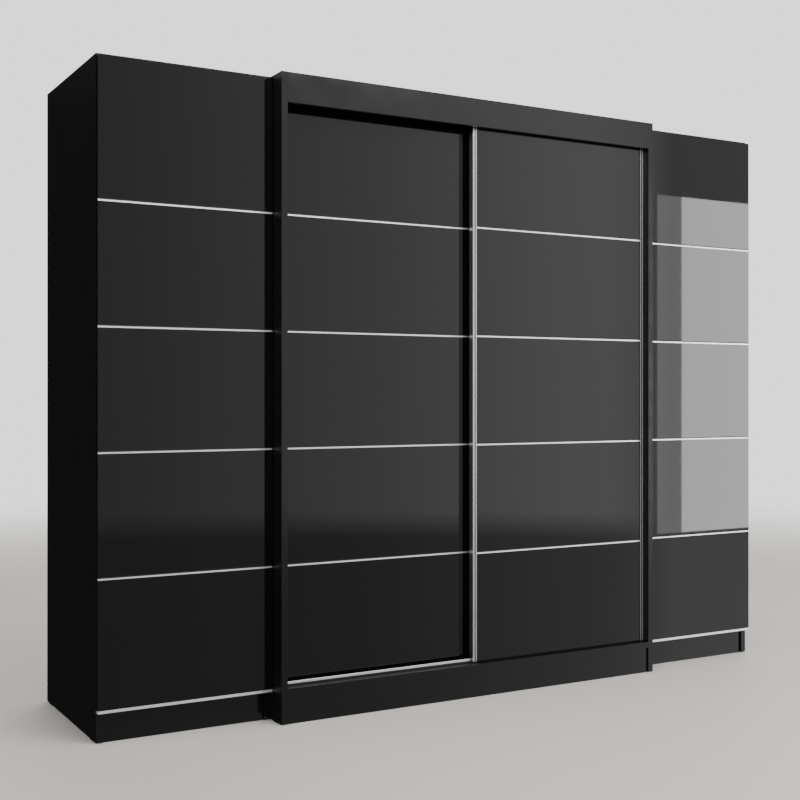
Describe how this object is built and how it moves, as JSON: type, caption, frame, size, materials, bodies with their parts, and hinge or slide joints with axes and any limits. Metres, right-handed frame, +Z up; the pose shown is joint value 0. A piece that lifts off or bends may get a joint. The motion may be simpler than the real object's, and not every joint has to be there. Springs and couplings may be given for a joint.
{
  "type": "sliding door wardrobe",
  "caption": "Black gloss wardrobe: a deeper middle cabinet with sliding doors between two side cabinets with full-height hinged doors, all with thin aluminium strips.",
  "frame": {"origin": "on the floor, under the centre of the outer box", "axes": "+Z up, -Y towards the front (the doors), +X to the right seen from the front"},
  "size_m": [2.766, 0.706, 2.15],
  "materials": {
    "black_gloss_board": "high-gloss black board",
    "black_gloss_front": "mirror-gloss black front panel",
    "black_hardboard": "matt black hardboard",
    "satin_aluminium": "satin anodised aluminium",
    "zinc_plated_steel": "zinc-plated steel",
    "chrome_tube": "bright chrome",
    "black_plastic": "moulded black nylon",
    "grey_rubber": "soft grey rubber"
  },
  "bodies": {
    "cabinet": {"left_outer_gable": "black_gloss_board", "left_inner_gable": "black_gloss_board", "right_outer_gable": "black_gloss_board", "right_inner_gable": "black_gloss_board", "centre_left_gable": "black_gloss_board", "centre_right_gable": "black_gloss_board", "side_top_boards": "black_gloss_board", "side_bottom_boards": "black_gloss_board", "side_plinths": "black_gloss_board", "left_shelves": "black_gloss_board", "right_shelves": "black_gloss_board", "centre_top_board": "black_gloss_board", "centre_bottom_board": "black_gloss_board", "centre_plinth": "black_gloss_board", "header_fascia": "black_gloss_board", "centre_partition": "black_gloss_board", "centre_shelves": "black_gloss_board", "side_back_panels": "black_hardboard", "centre_back_panels": "black_hardboard", "top_track": "satin_aluminium", "bottom_rails": "satin_aluminium", "hinge_arms": "zinc_plated_steel", "shelf_pins": "zinc_plated_steel", "cabinet_bolts": "zinc_plated_steel", "hanging_rails": "chrome_tube", "rail_sockets": "black_plastic", "floor_glides": "black_plastic", "support_legs": "black_plastic", "latch_bodies": "black_plastic", "bottom_track_bases": "black_plastic", "track_stops": "black_plastic", "door_buffers": "grey_rubber"},
    "left_door": {"left_door_leaf": "black_gloss_front", "left_door_strips": "satin_aluminium", "left_door_trim": "satin_aluminium", "left_hinge_cups": "zinc_plated_steel"},
    "right_door": {"right_door_leaf": "black_gloss_front", "right_door_strips": "satin_aluminium", "right_door_trim": "satin_aluminium", "right_hinge_cups": "zinc_plated_steel"},
    "left_hinge_links": {"left_hinge_links": "zinc_plated_steel"},
    "right_hinge_links": {"right_hinge_links": "zinc_plated_steel"},
    "left_latch_plunger": {"left_latch_plunger": "black_plastic"},
    "right_latch_plunger": {"right_latch_plunger": "black_plastic"},
    "front_door": {"front_door_edge_profiles": "satin_aluminium", "front_door_strips": "satin_aluminium", "front_door_panels": "black_gloss_front", "front_door_end_rails": "satin_aluminium", "front_door_carriages": "zinc_plated_steel", "front_door_guides": "black_plastic"},
    "front_door_wheel_left": {"front_door_wheel_left": "black_plastic"},
    "front_door_wheel_right": {"front_door_wheel_right": "black_plastic"},
    "rear_door": {"rear_door_edge_profiles": "satin_aluminium", "rear_door_strips": "satin_aluminium", "rear_door_panels": "black_gloss_front", "rear_door_end_rails": "satin_aluminium", "rear_door_carriages": "zinc_plated_steel", "rear_door_guides": "black_plastic"},
    "rear_door_wheel_left": {"rear_door_wheel_left": "black_plastic"},
    "rear_door_wheel_right": {"rear_door_wheel_right": "black_plastic"}
  },
  "joints": [
    {"name": "left_door_hinge", "type": "hinge", "parent": "cabinet", "child": "left_door", "pos_m": [-1.375, -0.2826, 1.075], "axis": [0, 0, -1], "range_deg": [0, 100]},
    {"name": "left_hinge_link_swing", "type": "hinge", "parent": "cabinet", "child": "left_hinge_links", "pos_m": [-1.346, -0.2566, 1.075], "axis": [0, 0, 1], "range_deg": [0, 45]},
    {"name": "left_latch_push", "type": "slide", "parent": "cabinet", "child": "left_latch_plunger", "axis": [0, -1, 0], "range_m": [0, 0.014]},
    {"name": "right_door_hinge", "type": "hinge", "parent": "cabinet", "child": "right_door", "pos_m": [1.375, -0.2826, 1.075], "axis": [0, 0, 1], "range_deg": [0, 100]},
    {"name": "right_hinge_link_swing", "type": "hinge", "parent": "cabinet", "child": "right_hinge_links", "pos_m": [1.346, -0.2566, 1.075], "axis": [0, 0, -1], "range_deg": [0, 45]},
    {"name": "right_latch_push", "type": "slide", "parent": "cabinet", "child": "right_latch_plunger", "axis": [0, -1, 0], "range_m": [0, 0.014]},
    {"name": "front_door_slide", "type": "slide", "parent": "cabinet", "child": "front_door", "axis": [-1, 0, 0], "range_m": [0, 0.742]},
    {"name": "front_door_wheel_left_roll", "type": "hinge", "parent": "front_door", "child": "front_door_wheel_left", "pos_m": [0.0615, -0.3101, 0.1451], "axis": [0, -1, 0], "continuous": true},
    {"name": "front_door_wheel_right_roll", "type": "hinge", "parent": "front_door", "child": "front_door_wheel_right", "pos_m": [0.681, -0.3101, 0.1451], "axis": [0, -1, 0], "continuous": true},
    {"name": "rear_door_slide", "type": "slide", "parent": "cabinet", "child": "rear_door", "axis": [1, 0, 0], "range_m": [0, 0.742]},
    {"name": "rear_door_wheel_left_roll", "type": "hinge", "parent": "rear_door", "child": "rear_door_wheel_left", "pos_m": [-0.681, -0.2631, 0.1451], "axis": [0, 1, 0], "continuous": true},
    {"name": "rear_door_wheel_right_roll", "type": "hinge", "parent": "rear_door", "child": "rear_door_wheel_right", "pos_m": [-0.0615, -0.2631, 0.1451], "axis": [0, 1, 0], "continuous": true}
  ],
  "couplings": [
    {"joint": "left_hinge_link_swing", "follows": "left_door_hinge", "ratio": 0.45},
    {"joint": "left_latch_push", "follows": "left_door_hinge", "m_per_rad": 0.008},
    {"joint": "right_hinge_link_swing", "follows": "right_door_hinge", "ratio": 0.45},
    {"joint": "right_latch_push", "follows": "right_door_hinge", "m_per_rad": 0.008},
    {"joint": "front_door_wheel_left_roll", "follows": "front_door_slide", "rad_per_m": 76.923},
    {"joint": "front_door_wheel_right_roll", "follows": "front_door_slide", "rad_per_m": 76.923},
    {"joint": "rear_door_wheel_left_roll", "follows": "rear_door_slide", "rad_per_m": 76.923},
    {"joint": "rear_door_wheel_right_roll", "follows": "rear_door_slide", "rad_per_m": 76.923}
  ]
}
